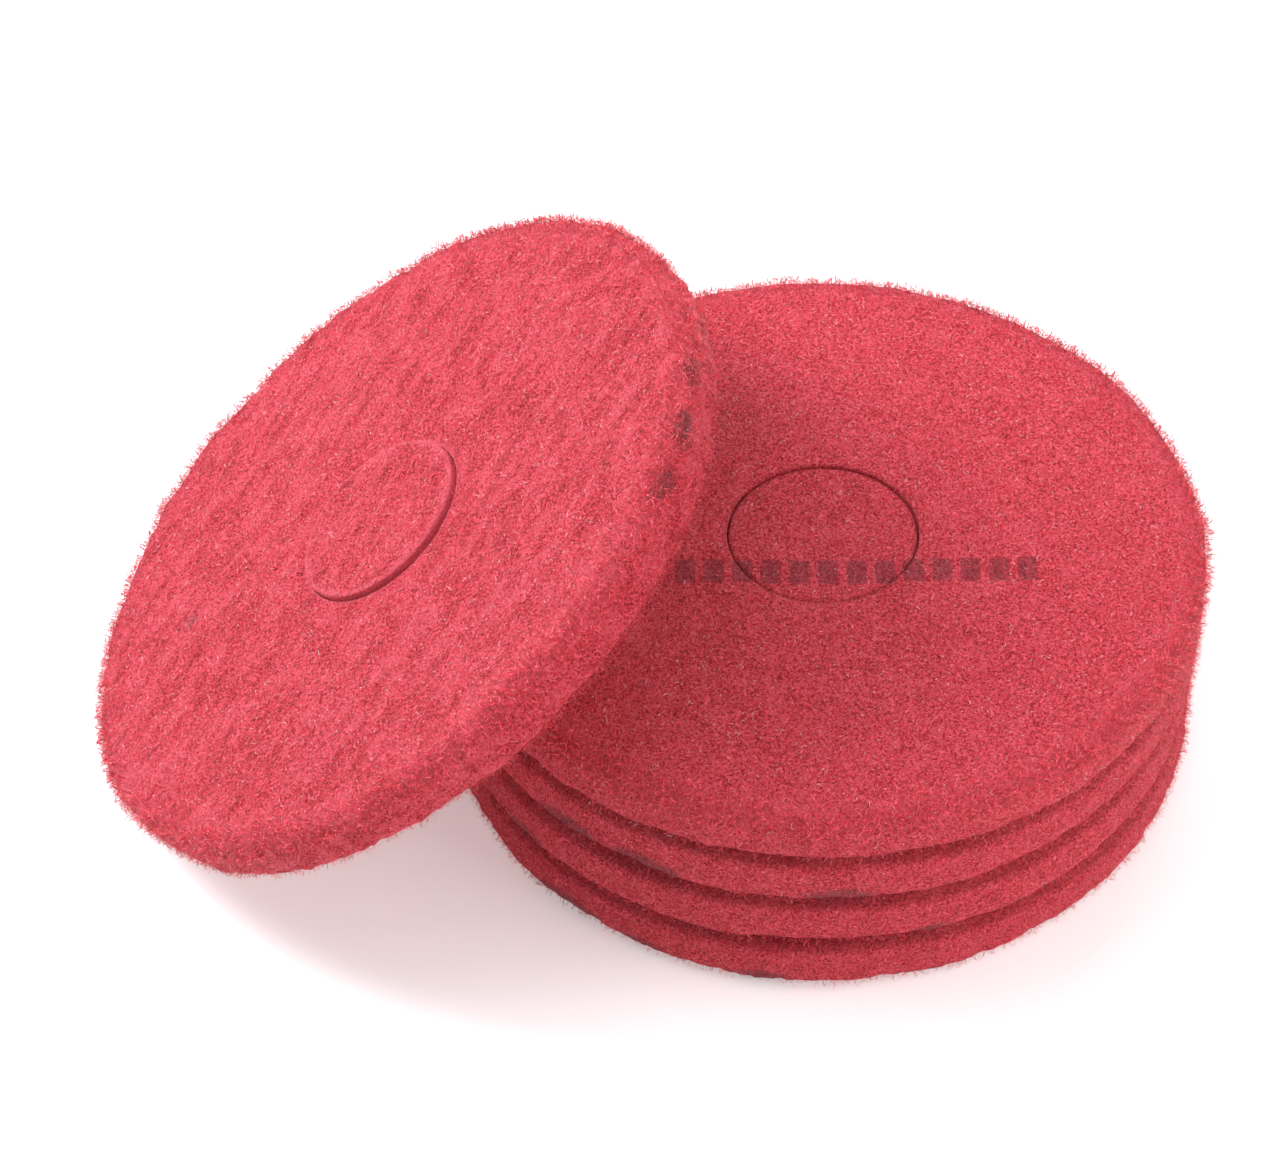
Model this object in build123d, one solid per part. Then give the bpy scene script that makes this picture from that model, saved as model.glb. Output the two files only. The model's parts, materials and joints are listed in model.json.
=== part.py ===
from build123d import *
import math
import os

# A set of five round non-woven floor pads: four lie in a stack and the fifth leans on it.
# Every pad is a ring with a die-cut centre disc, and the disc still sits in its hole.
# +Z is up. The origin is the centre of the bottom pad's underside. The leaning pad is on -X.

# Driving dimensions, in millimetres
PAD_DIAMETER = 330.0          # a 13 inch pad
PAD_THICKNESS = 26.5          # a lofty pad of nominally 1 inch
HOLE_DIAMETER = 83.0          # 3 1/4 inch centre hole
DISC_CLEARANCE = 0.3          # radial gap that the die leaves round the centre disc
DISC_SUNK = 1.5               # how far a stacked pad's disc lies below its top face, pressed by the die
DISC_PROUD = 1.8              # how far the leaning pad's disc stands out of its front face
RIM_ROUNDING = 4.0            # soft outer edges of a pad
LIP_ROUNDING = 1.5            # soft edges of the hole and of the disc
STACK_GAP = 0.3               # air between two pads of the stack
LEAN_ANGLE = 35.8             # the leaning pad's slope from the floor, in degrees
LEAN_BITE = 1.5               # how far the top pad's rim reaches into the leaning pad's hole

# Where each stacked pad's axis lies from the bottom pad's, bottom to top: a stack is never exact
STACK_SHIFTS = {
    "bottom_pad": (0.0, 0.0),
    "second_pad": (-1.2, 0.3),
    "third_pad": (0.4, 1.0),
    "top_pad": (1.3, 0.4),
}

# Sizes that follow from those above
PAD_RADIUS = PAD_DIAMETER / 2
HOLE_RADIUS = HOLE_DIAMETER / 2
DISC_RADIUS = HOLE_RADIUS - DISC_CLEARANCE
STACK_PITCH = PAD_THICKNESS + STACK_GAP

ON_BASE = (Align.CENTER, Align.CENTER, Align.MIN)


def pad_ring():
    """One pad without its disc, its underside on z = 0."""
    body = Cylinder(PAD_RADIUS, PAD_THICKNESS, align=ON_BASE)
    body -= Cylinder(HOLE_RADIUS, PAD_THICKNESS, align=ON_BASE)
    circles = body.edges().filter_by(GeomType.CIRCLE)
    rim = circles.filter_by(lambda edge: math.isclose(edge.radius, PAD_RADIUS))
    body = fillet(rim, RIM_ROUNDING)
    circles = body.edges().filter_by(GeomType.CIRCLE)
    lip = circles.filter_by(lambda edge: math.isclose(edge.radius, HOLE_RADIUS))
    return fillet(lip, LIP_ROUNDING)


def centre_disc(thickness):
    """The die-cut piece that fills a pad's hole, its underside on z = 0."""
    disc = Cylinder(DISC_RADIUS, thickness, align=ON_BASE)
    return fillet(disc.edges().filter_by(GeomType.CIRCLE), LIP_ROUNDING)


def leaning_place():
    """The leaning pad's frame: its origin is the centre of the pad's underside, +Z its outward normal.

    The pad's lowest rounded edge touches the floor. The top pad's rim all but meets its disc's back,
    just inside its hole, which is what pushes the disc out of its front face.
    """
    slope = math.radians(LEAN_ANGLE)
    rise, run = math.sin(slope), math.cos(slope)
    core_radius = PAD_RADIUS - RIM_ROUNDING
    centre_z = core_radius * rise - RIM_ROUNDING * run + RIM_ROUNDING
    # the centre of the top pad's rounded edge, in the vertical plane through both pads
    edge_x = STACK_SHIFTS["top_pad"][0] - core_radius
    edge_z = (len(STACK_SHIFTS) - 1) * STACK_PITCH + PAD_THICKNESS - RIM_ROUNDING
    reach = (edge_z - centre_z) * run + RIM_ROUNDING - LEAN_BITE
    centre_x = edge_x - reach / rise
    return Pos(centre_x, 0, centre_z) * Rot(0, -LEAN_ANGLE, 0)


solids = {}
for level, (pad, (shift_x, shift_y)) in enumerate(STACK_SHIFTS.items()):
    place = Pos(shift_x, shift_y, level * STACK_PITCH)
    solids[pad] = place * pad_ring()
    solids[f"{pad}_centre_disc"] = place * centre_disc(PAD_THICKNESS - DISC_SUNK)
place = leaning_place()
solids["leaning_pad"] = place * pad_ring()
solids["leaning_pad_centre_disc"] = place * Pos(0, 0, DISC_PROUD) * centre_disc(PAD_THICKNESS)

os.makedirs("parts", exist_ok=True)
for node, solid in solids.items():
    export_step(solid, f"parts/{node}.step")

# The place of the leaning pad's front face, halfway from hole to rim on the uphill side
face_radius = (PAD_RADIUS + HOLE_RADIUS) / 2
face_point = (place * Pos(face_radius, 0, PAD_THICKNESS)).position
face_normal = place.z_axis.direction
print("leaning pad's front face:", tuple(face_point), "normal", tuple(face_normal))
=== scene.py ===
import json
import math
from typing import NamedTuple

import bmesh
import bpy
import numpy as np
from mathutils import Euler, Matrix, Vector

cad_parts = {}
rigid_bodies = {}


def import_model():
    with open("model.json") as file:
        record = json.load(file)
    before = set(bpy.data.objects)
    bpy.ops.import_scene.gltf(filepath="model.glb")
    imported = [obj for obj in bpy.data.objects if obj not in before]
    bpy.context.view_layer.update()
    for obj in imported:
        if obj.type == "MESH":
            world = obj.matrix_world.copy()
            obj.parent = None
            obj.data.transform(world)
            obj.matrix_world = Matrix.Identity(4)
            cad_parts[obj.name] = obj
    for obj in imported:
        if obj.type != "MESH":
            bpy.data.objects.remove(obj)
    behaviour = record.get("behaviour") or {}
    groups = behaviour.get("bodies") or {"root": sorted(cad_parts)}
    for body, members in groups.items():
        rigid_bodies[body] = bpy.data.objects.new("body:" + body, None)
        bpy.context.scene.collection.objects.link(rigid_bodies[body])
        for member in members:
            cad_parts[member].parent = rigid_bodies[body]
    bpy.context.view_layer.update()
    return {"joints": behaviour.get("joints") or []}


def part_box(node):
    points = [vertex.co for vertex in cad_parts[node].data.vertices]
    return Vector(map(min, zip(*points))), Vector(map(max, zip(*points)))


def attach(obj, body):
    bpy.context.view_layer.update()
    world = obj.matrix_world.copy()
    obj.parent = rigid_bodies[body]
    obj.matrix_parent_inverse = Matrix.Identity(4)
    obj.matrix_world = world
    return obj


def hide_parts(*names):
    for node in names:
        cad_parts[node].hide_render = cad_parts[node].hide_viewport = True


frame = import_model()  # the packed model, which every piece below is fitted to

bl_info = {
    "name": "Floor pad set",
    "version": (1, 0, 0),
    "blender": (4, 5, 0),
    "location": "3D Viewport > Sidebar > Floor Pads",
    "description": "Dresses a stack of round non-woven floor pads with web, centre discs and loose fibres",
    "category": "Object",
}

MM = 0.001
TOP = "top_pad"
LEANING = "leaning_pad"
LEAN_JOINT = "leaning_pad_pull_away"

LOW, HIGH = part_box("bottom_pad")
DISC_LOW, DISC_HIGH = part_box("bottom_pad_centre_disc")
PAD_RADIUS = (HIGH.x - LOW.x) / 2
PAD_THICKNESS = HIGH.z - LOW.z
HALF_THICKNESS = PAD_THICKNESS / 2
DISC_RADIUS = (DISC_HIGH.x - DISC_LOW.x) / 2
DISC_THICKNESS = DISC_HIGH.z - DISC_LOW.z


class Finish(NamedTuple):
    """What sets one pad's web apart from another's."""

    bare: bool  # nothing covers its upper face
    lumps: float  # how much higher its clumps are than usual
    streak: float  # how far a clump is drawn out along the streaks, 1 for not at all and less for more
    dip: float  # how far the die has pressed the upper face down at the hole
    patchiness: float  # how much lighter and darker its clumps are
    painted_side_shade: float  # painted shade: what the fibres on its side gain in shade value, below 0 making them darker


COVERED = Finish(bare=False, lumps=1.1, streak=0.8, dip=0.0, patchiness=0.06, painted_side_shade=-0.12)
FINISHES = {
    "bottom_pad": COVERED,
    "second_pad": COVERED,
    "third_pad": COVERED,
    TOP: Finish(bare=True, lumps=1.1, streak=0.8, dip=0.5 * MM, patchiness=0.06, painted_side_shade=-0.05),
    LEANING: Finish(bare=True, lumps=2.0, streak=0.45, dip=1.6 * MM, patchiness=0.15, painted_side_shade=-0.22),
}
PADS = tuple(FINISHES)
STREAK_TURN = math.radians(-51)  # the turn that brings the clumps' long direction to the pad's X
CUT_CALM = (0.2 * MM, 4 * MM)  # how far from the die's cut the relief starts and is full
SIDE_RELIEF, COVERED_RELIEF = 1.3, 0.04  # relief on a pad's side and where pads touch, 1 on a bare face

# Where dirt is worked into each pad: degrees round it, distance from its axis, height from its middle, radius
LOW_SIDE, HIGH_SIDE = -8 * MM, 8 * MM
SMUDGES = {
    "bottom_pad": (
        (-99, PAD_RADIUS, LOW_SIDE, 10 * MM),
        (-132, PAD_RADIUS, LOW_SIDE, 16 * MM),
        (-118, PAD_RADIUS, LOW_SIDE, 8 * MM),
    ),
    "second_pad": ((-74, PAD_RADIUS, LOW_SIDE, 6 * MM), (-140, PAD_RADIUS, LOW_SIDE, 10 * MM)),
    "third_pad": (
        (-88, PAD_RADIUS, LOW_SIDE, 12 * MM),
        (-117, PAD_RADIUS, LOW_SIDE, 14 * MM),
        (-131, PAD_RADIUS, LOW_SIDE, 14 * MM),
    ),
    TOP: ((-150, PAD_RADIUS, LOW_SIDE, 8 * MM),),
    LEANING: (
        (-2, PAD_RADIUS, HIGH_SIDE, 7 * MM),
        (-13, PAD_RADIUS, HIGH_SIDE, 9 * MM),
        (-23, PAD_RADIUS, HIGH_SIDE, 6 * MM),
        (180, 109 * MM, HALF_THICKNESS, 1 * MM),
    ),
}
SMUDGE_SQUASH = (1.0, 1.0, 2.6)  # a smudge on a side is lower than it is wide
SMUDGE_WANDER = 12 * MM  # how far the clumps move a smudge's outline
SMUDGE_FADE = (3 * MM, 13 * MM)  # how far outside its radius a smudge starts to fade and is gone

# The row of plain dashes on the top pad's upper face
INK_START, INK_END = -64 * MM, 91 * MM
INK_ROW_Y = -23 * MM
INK_HEIGHT, INK_PITCH, INK_DASH = 13.5 * MM, 12.2 * MM, 8.4 * MM
INK_BLUR, INK_END_BLUR = 1.2 * MM, 0.5 * MM
INK_FIBRES = 0.6  # share of the fibres in a dash that are dark

# The colours of loose fibres: material name, linear colour, and the highest shade value that still takes it
FIBRE_SHADES = (
    # The shaded and bright fibres are darker and lighter copies of one dyed red, painted shade and highlight
    # mixed in at random
    ("fibre shaded", (0.52, 0.004, 0.013), 0.21),
    ("fibre red", (0.89, 0.018, 0.042), 0.52),
    ("fibre bright", (0.97, 0.084, 0.132), 0.95),
    # Painted highlight: a few pale fibres stand in for glints
    ("fibre glint", (1.0, 0.70, 0.70), 9.0),
)
SOILED_FIBRE = ("fibre soiled", (0.17, 0.014, 0.020))
SOILED_DROP = 9.0  # taken off the shade of a soiled fibre, so that none of the clean shades takes it
LEAST_SHADE = -2.0

COOL, WARM = (0.93, 1.0, 1.04), (1.0, 0.92, 0.93)
SOFTBOXES = (  # name, place, width in metres, power in watts, tint
    ("key softbox", (-1.3, 0.5, 1.1), 0.8, 37.0, COOL),
    ("upper softbox", (-0.7, 0.2, 1.8), 1.0, 14.0, COOL),
    ("overhead softbox", (0.5, -0.2, 2.0), 1.5, 7.0, WARM),
    ("right fill softbox", (1.5, -0.6, 0.8), 1.6, 27.0, WARM),
    ("front fill softbox", (0.0, -1.8, 0.9), 1.6, 12.5, WARM),
    ("back softbox", (0.3, 1.7, 0.9), 1.4, 19.0, COOL),
)
FLOOR_REACH = 6.0
BACKDROP_STRENGTH = 0.8  # the white that the camera sees past the floor

MOST_TRIANGLES = 200000  # in one piece


def distance(name, description, default):
    """A length property in metres."""
    return bpy.props.FloatProperty(
        name=name, description=description, default=default, subtype="DISTANCE", unit="LENGTH"
    )


def share(name, description, default):
    """A property from 0 to 1."""
    return bpy.props.FloatProperty(
        name=name, description=description, default=default, min=0.0, max=1.0, subtype="FACTOR"
    )


def colour(name, description, default):
    """A linear colour property."""
    return bpy.props.FloatVectorProperty(
        name=name, description=description, default=default, size=3, subtype="COLOR", min=0.0, max=1.0
    )


def density(name, description, default):
    """A property in fibres on a square metre."""
    return bpy.props.FloatProperty(name=name, description=description, default=default, min=0.0)


def angle(name, description, degrees):
    """An angle property."""
    return bpy.props.FloatProperty(
        name=name, description=description, default=math.radians(degrees), subtype="ANGLE", unit="ROTATION"
    )


class FloorPadShape(bpy.types.PropertyGroup):
    """The shape of a pad's web"""

    rim_rounding: distance("Rim rounding", "Radius of a pad's soft outer edges", 8 * MM)
    lip_rounding: distance("Lip rounding", "Radius of the edges of a pad's hole", 0.8 * MM)
    disc_rounding: distance("Disc rounding", "Radius of a centre disc's soft edges", 1.6 * MM)
    dip_reach: distance("Dip reach", "How far from the hole the pressed part of a face ends", 14 * MM)
    disc_clearance: distance("Disc clearance", "Air between a centre disc and its hole", 0.3 * MM)
    fine_step: distance("Fine step", "Mesh size on the faces that show", 1.9 * MM)
    coarse_step: distance("Coarse step", "Mesh size on the faces that are covered", 7 * MM)
    lump_height: distance("Lump height", "How high the clumps of fibre stand", 2.2 * MM)
    lump_size: distance("Lump size", "How wide a clump of fibre is", 9 * MM)
    sway_height: distance("Sway height", "How far a face or a rim strays from true", 3.2 * MM)
    sway_size: distance("Sway size", "The length of a stray in a face or a rim", 60 * MM)
    grain_height: distance("Grain height", "How high the finest relief stands", 1.3 * MM)
    grain_size: distance("Grain size", "How wide the finest relief is", 2.6 * MM)


class FloorPadFibres(bpy.types.PropertyGroup):
    """The loose fibres that stand out of the web"""

    width: distance("Width", "Thickness of one fibre", 0.2 * MM)
    face_reach: distance("Face reach", "Usual length of a fibre's loose end on a face", 3 * MM)
    rim_reach: distance("Rim reach", "Usual length of a fibre's loose end on a side", 5.4 * MM)
    lip_margin: distance("Lip margin", "Width over which the fibres fade out beside a hole", 1.2 * MM)
    face_density: density("Face density", "Fibres on a square metre of a bare face", 510000.0)
    back_density: density("Back density", "Fibres on a square metre of the leaning pad's back", 180000.0)
    rim_density: density("Rim density", "Fibres on a square metre of a pad's side", 470000.0)
    edge_density: density("Edge density", "Fibres on a square metre of a bare pad's upper edge", 1100000.0)
    face_tilt: angle("Face tilt", "How steeply a fibre may rise from a face", 60)
    rim_tilt: angle("Rim tilt", "How steeply a fibre may rise from a pad's side", 82)


class FloorPadColours(bpy.types.PropertyGroup):
    """The colours of the dyed web"""

    web: colour("Web", "The dyed fibre in bulk", (0.85, 0.022, 0.046))
    # Painted shade: the dark colour given to the web's pits, the creases between pads and the groove round a
    # sunk disc
    hollow_shade: colour("Hollow", "The web where it opens into its depth", (0.30, 0.002, 0.006))
    # Painted highlight: the light colour given to raised fibre ends, a bare pad's upper edge and the leaning
    # pad's proud disc lip
    bloom_highlight: colour("Bloom", "Fibre ends that catch the light", (0.97, 0.120, 0.172))
    # Painted highlight, partly real: pale resin specks painted into the colour as bright glints
    glint: colour("Glint", "Bare resin on a fibre", (1.0, 0.62, 0.62))
    smudge: colour("Smudge", "Grey dirt worked into the web", (0.11, 0.035, 0.035))
    ink: colour("Ink", "Faded dark ink of the plain marks", (0.10, 0.012, 0.022))


class FloorPadStudio(bpy.types.PropertyGroup):
    """The camera, the surroundings and the floor"""

    lens: bpy.props.FloatProperty(
        name="Lens", description="Focal length for a 36 mm sensor", default=108.2, unit="CAMERA"
    )
    reach: distance("Reach", "From the camera to the middle of the set", 1.687)
    azimuth: angle("Azimuth", "How far the camera stands round from -Y towards +X", 2.3)
    elevation: angle("Elevation", "The camera's height above the horizon", 46.27)
    roll: angle("Roll", "The camera's turn about its own line of sight", -1.93)
    target: bpy.props.FloatVectorProperty(
        name="Target", description="The point that the camera looks at", default=(-0.0785, 0.0, 0.0778),
        size=3, subtype="TRANSLATION", unit="LENGTH"
    )
    floor: colour("Floor", "The plain pale floor", (0.86, 0.86, 0.86))
    floor_glow: share("Floor glow", "Light that the pale floor gives off by itself", 0.3)
    ambient: share("Ambient", "Strength of the light from all round", 0.12)


def pad_place(pad):
    """A pad's own frame: its origin is the middle of the pad and its +Z the pad's upward face normal."""
    low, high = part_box(pad)  # the corners of the pad's box
    normal = Vector((0, 0, 1))
    if pad == LEANING:
        joint = next(j for j in frame["joints"] if j["name"] == LEAN_JOINT)
        normal = Vector(joint["axis"]).normalized()
    tilt = math.atan2(normal.x, normal.z)
    return Matrix.Translation((low + high) / 2) @ Matrix.Rotation(tilt, 4, "Y")


def disc_lift(pad):
    """How far a centre disc's middle lies above its pad's middle, along the pad's normal."""
    low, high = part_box(f"{pad}_centre_disc")  # the corners of the disc's box
    return (pad_place(pad).inverted() @ ((low + high) / 2)).z


def ramp(values, start, end):
    """0 at start and before it, 1 at end and past it, and a straight line between them."""
    return np.clip((values - start) / (end - start), 0, 1)


def smudge_spots(pad):
    """The middle and the radius of each of a pad's smudges, in the pad's own frame."""
    for degrees, reach, height, radius in SMUDGES[pad]:
        turn = math.radians(degrees)
        yield (reach * math.cos(turn), reach * math.sin(turn), height), radius


def steps(start, end, size):
    """Evenly spaced values from start to end, both included, about size apart."""
    return list(np.linspace(start, end, max(2, round(abs(end - start) / size) + 1)))


def quarter(centre, radius, first, count=6):
    """A quarter circle in the section plane that starts at first degrees and turns clockwise."""
    turn = np.radians(np.linspace(first, first - 90, count))
    return [(centre[0] + radius * math.cos(a), centre[1] + radius * math.sin(a)) for a in turn]


def ring_section(shape, upper_step, dip):
    """The closed section of a pad as (radius, height) points, clockwise from the top of its hole.

    dip is how far the die has pressed the upper face down at the hole.
    """
    half, rim, lip = HALF_THICKNESS, shape.rim_rounding, shape.lip_rounding
    hole = DISC_RADIUS + shape.disc_clearance
    points = quarter((hole + lip, half - lip), lip, 180)
    points += [(r, half) for r in steps(hole + lip, PAD_RADIUS - rim, upper_step)[1:-1]]
    points += quarter((PAD_RADIUS - rim, half - rim), rim, 90, 8)
    points += [(PAD_RADIUS, z) for z in steps(half - rim, rim - half, shape.fine_step)[1:-1]]
    points += quarter((PAD_RADIUS - rim, rim - half), rim, 0, 8)
    points += [(r, -half) for r in steps(PAD_RADIUS - rim, hole + lip, shape.coarse_step)[1:-1]]
    points += quarter((hole + lip, lip - half), lip, -90)
    points += [(hole, z) for z in steps(lip - half, half - lip, shape.coarse_step)[1:-1]]
    pressed = [1 - ramp(r, hole + lip, hole + lip + shape.dip_reach) for r, _ in points]
    return [(r, z - dip * near * near if z > 0 else z) for (r, z), near in zip(points, pressed)]


def disc_section(shape, thickness, upper_step):
    """Half of a centre disc's section as (radius, height) points, from its top centre to its bottom one."""
    half, lip = thickness / 2, shape.disc_rounding
    points = [(r, half) for r in steps(0, DISC_RADIUS - lip, upper_step)[:-1]]
    points += quarter((DISC_RADIUS - lip, half - lip), lip, 90)
    points += [(DISC_RADIUS, z) for z in steps(half - lip, lip - half, shape.coarse_step)[1:-1]]
    points += quarter((DISC_RADIUS - lip, lip - half), lip, 0)
    points += [(r, -half) for r in steps(DISC_RADIUS - lip, 0, shape.coarse_step)[1:]]
    return points


def turned(name, section, turns, closed):
    """A solid of revolution about Z. A closed section makes a ring, an open one starts and ends on Z."""
    ring = section if closed else section[1:-1]
    around = np.linspace(0, 2 * math.pi, turns, endpoint=False)
    radius, height = np.array(ring).T
    x, y = np.outer(radius, np.cos(around)), np.outer(radius, np.sin(around))
    z = np.outer(height, np.ones(turns))
    points = np.stack([x, y, z], axis=2).reshape(-1, 3).tolist()
    rows = len(ring)
    here = np.arange(turns)
    after = np.roll(here, -1)
    faces = []
    for row in range(rows if closed else rows - 1):
        this, following = row * turns, (row + 1) % rows * turns
        faces += np.stack([this + here, following + here, following + after, this + after], axis=1).tolist()
    if not closed:
        top, bottom, last = len(points), len(points) + 1, (rows - 1) * turns
        points += [(0, 0, section[0][1]), (0, 0, section[-1][1])]
        faces += [(top, a, b) for a, b in zip(here.tolist(), after.tolist())]
        faces += [(bottom, last + b, last + a) for a, b in zip(here.tolist(), after.tolist())]
    mesh = bpy.data.meshes.new(name)
    mesh.from_pydata(points, [], faces)
    mesh.update()
    return mesh


def mesh_points(mesh):
    """A mesh's points as an array with a row for each."""
    points = np.zeros(len(mesh.vertices) * 3)
    mesh.vertices.foreach_get("co", points)
    return points.reshape(-1, 3)


def from_axis(points):
    """Each point's distance from the Z axis."""
    return np.hypot(points[:, 0], points[:, 1])


def own_mesh(piece, pad):
    """A copy of a piece's mesh, back in its pad's own frame."""
    mesh = piece.data.copy()
    mesh.transform(pad_place(pad).inverted())
    return mesh


def own_points(piece, pad):
    """A piece's points in its pad's own frame."""
    mesh = own_mesh(piece, pad)
    points = mesh_points(mesh)
    bpy.data.meshes.remove(mesh)
    return points


def write_values(mesh, name, values):
    """Stores one number for each point of a mesh."""
    mesh.attributes.new(name, "FLOAT", "POINT").data.foreach_set("value", values.astype(np.float32))


class Tree:
    """A node tree with short calls that add and link its nodes."""

    def __init__(self, tree):
        self.tree = tree

    def node(self, kind, inputs=None, **settings):
        """Adds a node. inputs maps a socket's name or number to a value or to the socket that feeds it."""
        made = self.tree.nodes.new(kind)
        for key, value in settings.items():
            setattr(made, key, value)
        for key, value in (inputs or {}).items():
            self.feed(made.inputs[key], value)
        return made

    def feed(self, socket, value):
        """Links an output socket to a socket, or sets the socket's own value."""
        if isinstance(value, bpy.types.NodeSocket):
            self.tree.links.new(value, socket)
        else:
            socket.default_value = value

    def math(self, operation, *values):
        """A Math node's result."""
        return self.node("ShaderNodeMath", dict(enumerate(values)), operation=operation).outputs[0]

    def vector(self, operation, *values):
        """A Vector Math node's vector result."""
        made = self.node("ShaderNodeVectorMath", dict(enumerate(values)), operation=operation)
        return made.outputs["Vector"]

    def scale(self, vector, size):
        """A vector times a number."""
        made = self.node("ShaderNodeVectorMath", {0: vector, "Scale": size}, operation="SCALE")
        return made.outputs["Vector"]

    def length(self, vector):
        """A vector's length."""
        return self.node("ShaderNodeVectorMath", {0: vector}, operation="LENGTH").outputs["Value"]

    def spin(self, vector, turn):
        """A vector turned about Z."""
        return self.node(
            "ShaderNodeVectorRotate", {"Vector": vector, "Angle": turn}, rotation_type="Z_AXIS"
        ).outputs[0]

    def noise(self, vector, seed, frequency, detail, roughness=0.5):
        """A noise texture's value, whose blobs are about 1 / frequency wide."""
        return self.node(
            "ShaderNodeTexNoise",
            {"Vector": vector, "W": seed, "Scale": frequency, "Detail": detail, "Roughness": roughness},
            noise_dimensions="4D",
        ).outputs[0]

    def remap(self, value, low, high, to_low=0.0, to_high=1.0, kind="SMOOTHSTEP"):
        """Maps low..high to to_low..to_high, held at both ends."""
        return self.node(
            "ShaderNodeMapRange", {0: value, 1: low, 2: high, 3: to_low, 4: to_high}, interpolation_type=kind
        ).outputs[0]

    def blend(self, factor, first, second):
        """Mixes a colour socket with a second colour by a factor."""
        mix = self.node("ShaderNodeMix", data_type="RGBA")
        self.feed(mix.inputs[0], factor)
        self.feed(mix.inputs[6], first)
        self.feed(mix.inputs[7], (*second, 1))
        return mix.outputs[2]


class GeometryTree(Tree):
    """A Geometry Nodes group with named inputs."""

    def __init__(self, name):
        group = bpy.data.node_groups.new(name, "GeometryNodeTree")
        group.is_modifier = True
        super().__init__(group)
        for direction in ("INPUT", "OUTPUT"):
            group.interface.new_socket("Geometry", in_out=direction, socket_type="NodeSocketGeometry")
        self.entry = group.nodes.new("NodeGroupInput")
        self.exit = group.nodes.new("NodeGroupOutput")

    def input(self, name, kind="NodeSocketFloat"):
        """Adds a named input and gives the socket that it feeds the tree with."""
        self.tree.interface.new_socket(name, in_out="INPUT", socket_type=kind)
        return self.entry.outputs[name]

    def stored(self, name):
        """A number stored on the geometry."""
        return self.node("GeometryNodeInputNamedAttribute", {"Name": name}, data_type="FLOAT").outputs[0]


def run_tree(group, mesh, values):
    """The mesh that a Geometry Nodes group makes of another one, which it uses up.

    values maps each named input to its value.
    """
    holder = bpy.data.objects.new("holder", mesh)
    bpy.context.scene.collection.objects.link(holder)
    modifier = holder.modifiers.new("web", "NODES")
    modifier.node_group = group
    sockets = {
        item.name: item.identifier
        for item in group.interface.items_tree
        if item.item_type == "SOCKET" and item.in_out == "INPUT"
    }
    for name, value in values.items():
        modifier[sockets[name]] = value
    graph = bpy.context.evaluated_depsgraph_get()
    made = bpy.data.meshes.new_from_object(holder.evaluated_get(graph), depsgraph=graph)
    bpy.data.objects.remove(holder)
    bpy.data.meshes.remove(mesh)
    return made


def relief_tree():
    """Raises sways, streaked lumps and a fine grain along the normals, as far as the stored relief allows."""
    tree = GeometryTree("web relief")
    given = {name: tree.input(name) for name in (
        "Lump height", "Lump size", "Sway height", "Sway size", "Grain height", "Grain size", "Streak", "Seed"
    )}
    streak_turn = tree.input("Streak turn")
    material = tree.input("Material", "NodeSocketMaterial")
    position = tree.node("GeometryNodeInputPosition").outputs[0]
    stretch = tree.node("ShaderNodeCombineXYZ", {"X": given["Streak"], "Y": 1.0, "Z": 1.0}).outputs[0]
    streaked = tree.vector("MULTIPLY", tree.spin(position, streak_turn), stretch)

    def layer(vector, name, detail):
        """One kind of relief, as a height above or below the smooth surface."""
        frequency = tree.math("DIVIDE", 1.0, given[f"{name} size"])
        made = tree.noise(vector, given["Seed"], frequency, detail, 0.55)
        return tree.math("MULTIPLY", tree.math("SUBTRACT", made, 0.5), given[f"{name} height"])

    total = tree.math("ADD", layer(streaked, "Lump", 2.0), layer(position, "Grain", 1.0))
    total = tree.math("ADD", total, layer(position, "Sway", 1.0))
    allowed = tree.math("MULTIPLY", total, tree.stored("relief"))
    offset = tree.scale(tree.node("GeometryNodeInputNormal").outputs[0], allowed)
    moved = tree.node("GeometryNodeSetPosition", {"Geometry": tree.entry.outputs[0], "Offset": offset})
    real = tree.node("GeometryNodeRealizeInstances", {"Geometry": moved.outputs[0]})
    dyed = tree.node("GeometryNodeSetMaterial", {"Geometry": real.outputs[0], "Material": material})
    tree.feed(tree.exit.inputs[0], dyed.outputs[0])
    return tree.tree


def web_mesh(pad, mesh, relief, seed):
    """A pad's or a disc's mesh with its relief and its material, still in the pad's own frame."""
    shape = bpy.context.scene.floor_pad_shape
    write_values(mesh, "relief", relief)
    group = bpy.data.node_groups.get("web relief") or relief_tree()
    return run_tree(group, mesh, {
        "Lump height": shape.lump_height * FINISHES[pad].lumps,
        "Lump size": shape.lump_size,
        "Sway height": shape.sway_height,
        "Sway size": shape.sway_size,
        "Grain height": shape.grain_height,
        "Grain size": shape.grain_size,
        "Streak": FINISHES[pad].streak,
        "Streak turn": STREAK_TURN,
        "Material": bpy.data.materials[f"{pad} web"],
        "Seed": float(seed),
    })


def finish_piece(name, mesh, pad, body, node=None):
    """Puts a mesh made in a pad's own frame in its place and makes it a piece of its body.

    node is the CAD solid that a padded web stands for. Fibres stand for none.
    """
    mesh.name = name
    mesh.transform(pad_place(pad))
    points = mesh_points(mesh)
    points[:, 2] = np.maximum(points[:, 2], 0)  # nothing reaches below the floor
    mesh.vertices.foreach_set("co", points.ravel())
    mesh.polygons.foreach_set("use_smooth", np.ones(len(mesh.polygons), bool))
    piece = bpy.data.objects.new(name, mesh)
    bpy.context.scene.collection.objects.link(piece)
    if node:
        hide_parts(node)  # the web is shown instead of the plain CAD solid
    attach(piece, body)  # the piece moves with its body
    return piece


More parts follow.
